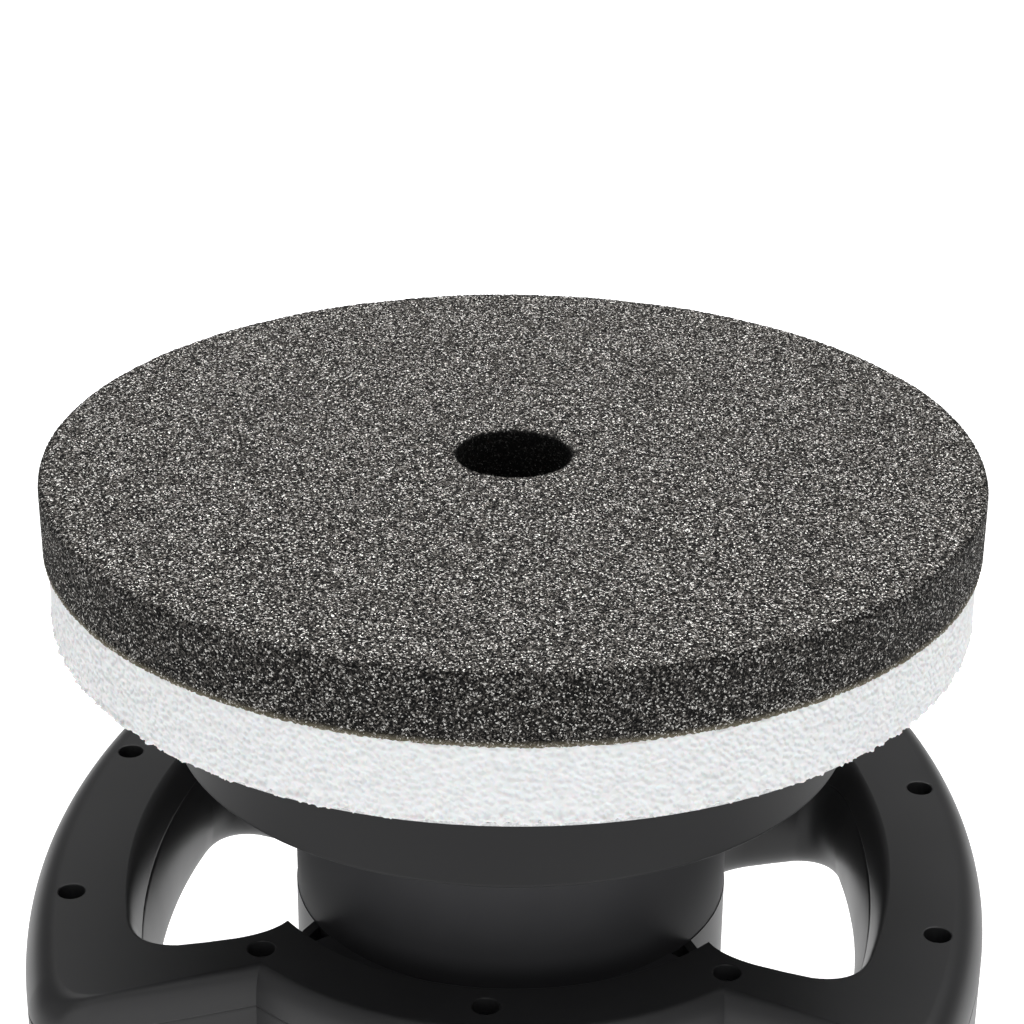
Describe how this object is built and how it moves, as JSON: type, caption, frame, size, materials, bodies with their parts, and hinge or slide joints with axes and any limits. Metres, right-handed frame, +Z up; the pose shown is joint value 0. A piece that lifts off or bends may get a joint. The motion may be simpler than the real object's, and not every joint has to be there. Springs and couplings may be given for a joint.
{
  "type": "dual action polisher",
  "caption": "Two-handled orbital polisher standing upside down on its motor dome, with a two-layer foam pad on a deep backing plate and D-shaped handles.",
  "frame": {"origin": "centre of the flat on the motor dome that the machine stands on, on the motor axis", "axes": "+Z up along the motor axis towards the pad, +X towards the handle with the switch, -Y towards the front"},
  "size_m": [0.2572, 0.24, 0.205],
  "materials": {
    "dark_foam": "open-cell polyurethane foam",
    "white_foam": "coarse open-cell polyurethane foam",
    "velour": "brushed loop velour",
    "hook_tape": "moulded hook tape",
    "plate_plastic": "satin moulded nylon",
    "housing_plastic": "satin moulded ABS",
    "black_plastic": "matt moulded plastic",
    "control_plastic": "matt moulded plastic",
    "fan_plastic": "moulded nylon",
    "steel": "turned",
    "bearing_steel": "ground",
    "dark_steel": "black oxide",
    "zinc_plated_steel": "zinc plated",
    "zinc_casting": "die cast",
    "cast_aluminium": "die cast",
    "copper": "enamelled copper",
    "brass": "drawn brass",
    "ferrite": "sintered",
    "carbon": "pressed carbon",
    "circuit_board": "solder resist",
    "capacitor_sleeve": "shrink sleeve",
    "gland_rubber": "moulded rubber",
    "wire_pvc": "extruded PVC"
  },
  "bodies": {
    "root": {"pad_side_housing": "housing_plastic", "dome_side_housing": "housing_plastic", "neck_shroud": "housing_plastic", "housing_screws": "dark_steel", "motor_can": "zinc_plated_steel", "motor_magnets": "ferrite", "front_bracket": "cast_aluminium", "rear_bracket": "black_plastic", "tie_bolts": "dark_steel", "motor_screws": "dark_steel", "front_bearing_outer": "bearing_steel", "front_bearing_balls": "bearing_steel", "rear_bearing_outer": "bearing_steel", "rear_bearing_balls": "bearing_steel", "brush_holders": "brass", "carbon_brushes": "carbon", "brush_springs": "steel", "control_board": "circuit_board", "rectifier": "black_plastic", "filter_capacitor": "capacitor_sleeve", "switch_body": "black_plastic", "dial_potentiometer": "black_plastic", "cord_gland": "gland_rubber", "cord_clamp": "black_plastic", "clamp_screws": "dark_steel", "lead_wires": "wire_pvc"},
    "drive": {"rotor_shaft": "steel", "rotor_core": "dark_steel", "rotor_windings": "copper", "commutator": "copper", "front_bearing_inner": "bearing_steel", "rear_bearing_inner": "bearing_steel", "cooling_fan": "fan_plastic", "eccentric_hub": "zinc_casting", "eccentric_screw": "dark_steel", "pad_bearing_outer": "bearing_steel", "pad_bearing_balls": "bearing_steel", "pocket_circlip": "dark_steel"},
    "pad": {"foam_face": "dark_foam", "foam_base": "white_foam", "loop_disc": "velour", "hook_disc": "hook_tape", "backing_plate": "plate_plastic", "plate_washer": "steel", "plate_bolt": "dark_steel", "pad_spindle": "steel", "pad_bearing_inner": "bearing_steel", "spindle_circlip": "dark_steel"},
    "rocker": {"switch_rocker": "control_plastic"},
    "dial": {"speed_dial": "control_plastic"}
  },
  "joints": [
    {"name": "drive_spin", "type": "hinge", "parent": "root", "child": "drive", "pos_m": [0, 0, 0.113], "axis": [0, 0, 1], "continuous": true},
    {"name": "pad_spin", "type": "hinge", "parent": "drive", "child": "pad", "pos_m": [0, -0.004, 0.1425], "axis": [0, 0, 1], "continuous": true},
    {"name": "rocker_tilt", "type": "hinge", "parent": "root", "child": "rocker", "pos_m": [0.08, -0.0676, 0.05], "axis": [0.3907, 0.9205, 0], "range_deg": [-18, 0]},
    {"name": "dial_turn", "type": "hinge", "parent": "root", "child": "dial", "pos_m": [-0.08, -0.0676, 0.055], "axis": [-0.3907, 0.9205, 0], "range_deg": [0, 270]}
  ]
}
